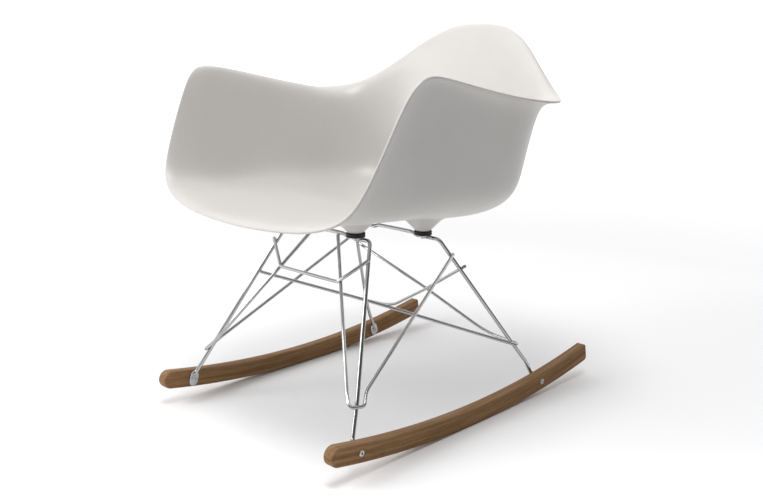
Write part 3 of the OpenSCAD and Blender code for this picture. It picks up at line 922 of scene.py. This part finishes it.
def turned(s):
    # local z -> s * X, local x -> -Z * s (kept a proper turn), local y -> Y
    return [[0, 0, s], [0, 1, 0], [-s, 0, 0]]


def at_feet(profile, n=64, spin_by=None, **kw):
    parts = []
    for i, (s, foot) in enumerate(FEET):
        parts.append(spin(profile, n, centre=(s * FACE, foot[1], foot[2]), turn=turned(s), **kw))
    return join(parts)


off = -TAB_T - 1.05
v, f = at_feet([(3.15, off + 0.15), (3.3, off), (5.7, off), (5.95, off + 0.12), (6.0, off + 0.3), (6.0, off + 0.85),
                (5.85, off + 1.0), (3.3, off + 1.0), (3.15, off + 0.85)])
ob = outward(make("washers_runner", v, f, ZINC, sharp=35))
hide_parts("rocker_washers")

hx = hexagon(3.5)
head = [(None, -TAB_T + 14.9), (2.5, -TAB_T + 14.9), (2.5, off - 0.05), (4.6, off - 0.05), (5.0, off - 0.35),
        (4.95, off - 0.9), (4.6, off - 1.7), (3.9, off - 2.4), (3.1, off - 2.85), (2.6, off - 3.0),
        (lambda a: hx(a) + 0.25, off - 3.0), (hx, off - 2.8), (hx, off - 1.2), (None, off - 0.8)]
v, f = at_feet(head, closed=False)
ob = outward(make("screws_runner", v, f, ZINC, sharp=35))
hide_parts("rocker_screws")

hn = hexagon(4.2)
nut = [(None, 3.0), (3.95, 3.0), (3.95, RT - 0.4), (3.95, RT), (5.2, RT), (5.5, RT + 0.25), (5.45, RT + 0.8),
       (5.1, RT + 1.35), (4.4, RT + 1.7), (3.4, RT + 1.8), (lambda a: hn(a) + 0.3, RT + 1.8), (hn, RT + 1.55),
       (hn, RT - 0.6), (None, RT - 1.2)]
v, f = at_feet(nut, closed=False)
ob = outward(make("sleeve_nuts", v, f, NUT, sharp=35))
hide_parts("rocker_sleeve_nuts")


# -------------------------------------------------------------------- runners
def runner_mesh(name, s, mat):
    er, rr = 2.4, (8.5, 2.6)        # edge rounding; rounding of the rear end's lower and upper corner
    rad = math.radians
    # outline in the side plane as (angle or point) pairs: lower (outer) and upper (inner) lines from nose to rear
    low, top = [], []        # each entry: (y, z, normal y, normal z, s along, r across)
    a0 = -rad(NOSE_DEG)
    h = RH / 2
    c_y, c_z = MID * math.sin(a0), R - MID * math.cos(a0)

    def frame_at(a):
        out = np.array([math.sin(a), -math.cos(a)])   # away from the arc's centre (down)
        along = np.array([math.cos(a), math.sin(a)])
        return out, along

    out0, al0 = frame_at(a0)
    nn = 16
    for k in range(nn):
        t = rad(90 * k / nn)
        for lst, sg in ((low, 1), (top, -1)):
            d = -al0 * math.cos(t) + sg * out0 * math.sin(t)
            lst.append((c_y + h * d[0], c_z + h * d[1], d[0], d[1], MID * a0 - h * math.cos(t), sg * h * math.sin(t)))
    a1 = rad(REAR_DEG)
    N = 150
    for k in range(N + 1):
        for lst, sg, rc in ((low, 1, rr[0]), (top, -1, rr[1])):
            a = a0 + (a1 - rc / MID - a0) * k / N
            out, al = frame_at(a)
            r = MID + sg * h
            lst.append((r * math.sin(a), R - r * math.cos(a), sg * out[0], sg * out[1], MID * a, sg * h))
    m = 8
    for k in range(1, m + 1):
        t = rad(90 * k / m)
        for lst, sg, q in ((low, 1, rr[0]), (top, -1, rr[1])):
            # the rear end is cut along the radius at a1: a corner's centre lies q inside both faces
            a = a1 - q / MID
            out, al = frame_at(a)
            rc = MID + sg * (h - q)
            cc = np.array([rc * math.sin(a), R - rc * math.cos(a)])
            d = sg * out * math.cos(t) + al * math.sin(t)
            p = cc + d * q
            lst.append((p[0], p[1], d[0], d[1], MID * a + q * math.sin(t), sg * (h - q + q * math.cos(t))))
    L = len(low)
    rings = []               # offsets: (inset, x)
    steps = 6
    half = RT / 2
    for k in range(steps + 1):
        t = rad(90 * k / steps)
        rings.append((er * (1 - math.sin(t)), -half + er * (1 - math.cos(t))))
    rings += [(i, -x) for i, x in reversed(rings)]
    verts, grain, edge, faces = [], [], [], []
    idx = {}
    for ri, (inset, x) in enumerate(rings):
        for li, lst in enumerate((low, top)):
            for k, (y, z, ny, nz, sa, ra) in enumerate(lst):
                idx[ri, li, k] = len(verts)
                verts.append((s * (FACE + half) + x, y - ny * inset, z - nz * inset))
                grain.append((sa * 0.001, (ra - math.copysign(inset, ra)) * 0.001, (x * s) * 0.001))
                edge.append(1.0 if 0 < ri < len(rings) - 1 and ri not in (steps, steps + 1) else 0.35)
    for ri in range(len(rings) - 1):
        for li in (0, 1):
            for k in range(L - 1):
                faces.append((idx[ri, li, k], idx[ri, li, k + 1], idx[ri + 1, li, k + 1], idx[ri + 1, li, k]))
        # the tip, where lower and upper lines start, and the flat rear end
        faces.append((idx[ri, 0, 0], idx[ri, 1, 0], idx[ri + 1, 1, 0], idx[ri + 1, 0, 0]))
        faces.append((idx[ri, 0, L - 1], idx[ri, 1, L - 1], idx[ri + 1, 1, L - 1], idx[ri + 1, 0, L - 1]))
    # side faces, with a few lines along the length
    rows = 5
    for ri in (0, len(rings) - 1):
        grid = []
        for j in range(rows + 1):
            line = []
            for k in range(L):
                if j == 0:
                    line.append(idx[ri, 0, k])
                elif j == rows:
                    line.append(idx[ri, 1, k])
                else:
                    f = j / rows
                    A, B = np.array(verts[idx[ri, 0, k]]), np.array(verts[idx[ri, 1, k]])
                    gA, gB = np.array(grain[idx[ri, 0, k]]), np.array(grain[idx[ri, 1, k]])
                    line.append(len(verts))
                    verts.append(tuple(A * (1 - f) + B * f))
                    grain.append(tuple(gA * (1 - f) + gB * f))
                    edge.append(0.0)
            grid.append(line)
        for j in range(rows):
            for k in range(L - 1):
                faces.append((grid[j][k], grid[j][k + 1], grid[j + 1][k + 1], grid[j + 1][k]))
    ob = make(name, verts, faces, mat, sharp=50)
    ob.data.attributes.new("grain", "FLOAT_VECTOR", "POINT")
    ob.data.attributes["grain"].data.foreach_set("vector", np.array(grain, np.float32).ravel())
    ob.data.attributes.new("edge", "FLOAT", "POINT")
    ob.data.attributes["edge"].data.foreach_set("value", np.array(edge, np.float32))
    import bmesh
    bm = bmesh.new()
    bm.from_mesh(ob.data)
    bmesh.ops.remove_doubles(bm, verts=bm.verts, dist=1e-6)
    bmesh.ops.recalc_face_normals(bm, faces=bm.faces)
    bm.to_mesh(ob.data)
    bm.free()
    ob.data.update()
    return ob


for s, side, mat in ((1, "left", WALNUT_L), (-1, "right", WALNUT_R)):
    ob = runner_mesh("runner_" + side, s, mat)
    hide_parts("rocker_" + side)

# the inserts stay as they are, inside the bosses
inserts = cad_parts["threaded_inserts"]
inserts.data.materials.clear()
inserts.data.materials.append(BRASS)

# ---------------------------------------------------------------------- stage
W_HORIZON, W_TOP, W_STRENGTH = 1.0, 1.0, 1.02
DARK_DIR, DARK_AMOUNT = (0.95, -0.31, 0.0), 0.95
fm = bpy.data.meshes.new("floor")
S = 600.0
fm.from_pydata([(-S, -S, 0), (S, -S, 0), (S, S, 0), (-S, S, 0)], [], [(0, 1, 2, 3)])
fm.materials.append(FLOOR)
floor = bpy.data.objects.new("floor", fm)
bpy.context.scene.collection.objects.link(floor)

world = bpy.data.worlds.new("studio")
bpy.context.scene.world = world
world.use_nodes = True
wt = world.node_tree
bg = wt.nodes["Background"]


def wnode(kind, **kw):
    n = wt.nodes.new(kind)
    for k, v in kw.items():
        setattr(n, k, v)
    return n


def wrange(fac, a0, a1, b0, b1):
    m = wnode("ShaderNodeMapRange", interpolation_type="SMOOTHSTEP")
    for k, v in (("From Min", a0), ("From Max", a1), ("To Min", b0), ("To Max", b1)):
        m.inputs[k].default_value = v
    wt.links.new(fac, m.inputs["Value"])
    return m.outputs["Result"]


tc = wnode("ShaderNodeTexCoord")
sep = wnode("ShaderNodeSeparateXYZ")
wt.links.new(tc.outputs["Generated"], sep.inputs[0])
dome = wnode("ShaderNodeValToRGB")
wt.links.new(sep.outputs[2], dome.inputs["Fac"])
el = dome.color_ramp.elements
el[0].position, el[0].color = 0.0, (W_HORIZON, W_HORIZON, W_HORIZON, 1)
el[1].position, el[1].color = 1.0, (W_TOP, W_TOP, W_TOP * 1.01, 1)
dot = wnode("ShaderNodeVectorMath", operation="DOT_PRODUCT")
wt.links.new(tc.outputs["Generated"], dot.inputs[0])
dot.inputs[1].default_value = DARK_DIR
side = wrange(dot.outputs["Value"], -0.10, 0.45, 0.0, DARK_AMOUNT)
low = wrange(sep.outputs[2], 0.72, 0.97, 1.0, 0.0)
both_ = wnode("ShaderNodeMath", operation="MULTIPLY")
wt.links.new(side, both_.inputs[0]); wt.links.new(low, both_.inputs[1])
mixw = wnode("ShaderNodeMix", data_type="RGBA")
wt.links.new(both_.outputs[0], mixw.inputs[0])
wt.links.new(dome.outputs["Color"], mixw.inputs[6])
mixw.inputs[7].default_value = (0.08, 0.08, 0.082, 1)
wt.links.new(mixw.outputs[2], bg.inputs["Color"])
bg.inputs["Strength"].default_value = W_STRENGTH


def area(name, pos, target, size, power, color=(1, 1, 1), size_y=None):
    l = bpy.data.lights.new(name, "AREA")
    l.energy = power
    l.color = color
    l.size = size
    if size_y:
        l.shape = "RECTANGLE"
        l.size_y = size_y
    o = bpy.data.objects.new(name, l)
    bpy.context.scene.collection.objects.link(o)
    o.location = pos
    o.rotation_euler = (Vector(target) - Vector(pos)).to_track_quat("-Z", "Y").to_euler()
    return o


area("top_softbox", (0.3, -0.5, 2.4), (0, 0.1, 0.5), 0.8, 21.5, size_y=0.8)
area("front_strip", (-1.1, -1.9, 1.6), (0, 0.1, 0.6), 0.7, 21.5, size_y=1.4)

# --------------------------------------------------------------------- camera
cam = bpy.data.cameras.new("camera")
cam.lens = 44.09
cam.sensor_width = 36
cam.sensor_fit = "HORIZONTAL"
cam.clip_end = 3000
co = bpy.data.objects.new("camera", cam)
bpy.context.scene.collection.objects.link(co)
co.location = (1.2721, -1.2861 + CY * 0.001, 0.7189)
co.rotation_euler = (math.radians(90 - 13.293), 0, math.radians(44.82))
bpy.context.scene.camera = co
bpy.context.scene.view_settings.view_transform = "Standard"
bpy.context.scene.view_settings.look = "None"

bpy.context.view_layer.update()
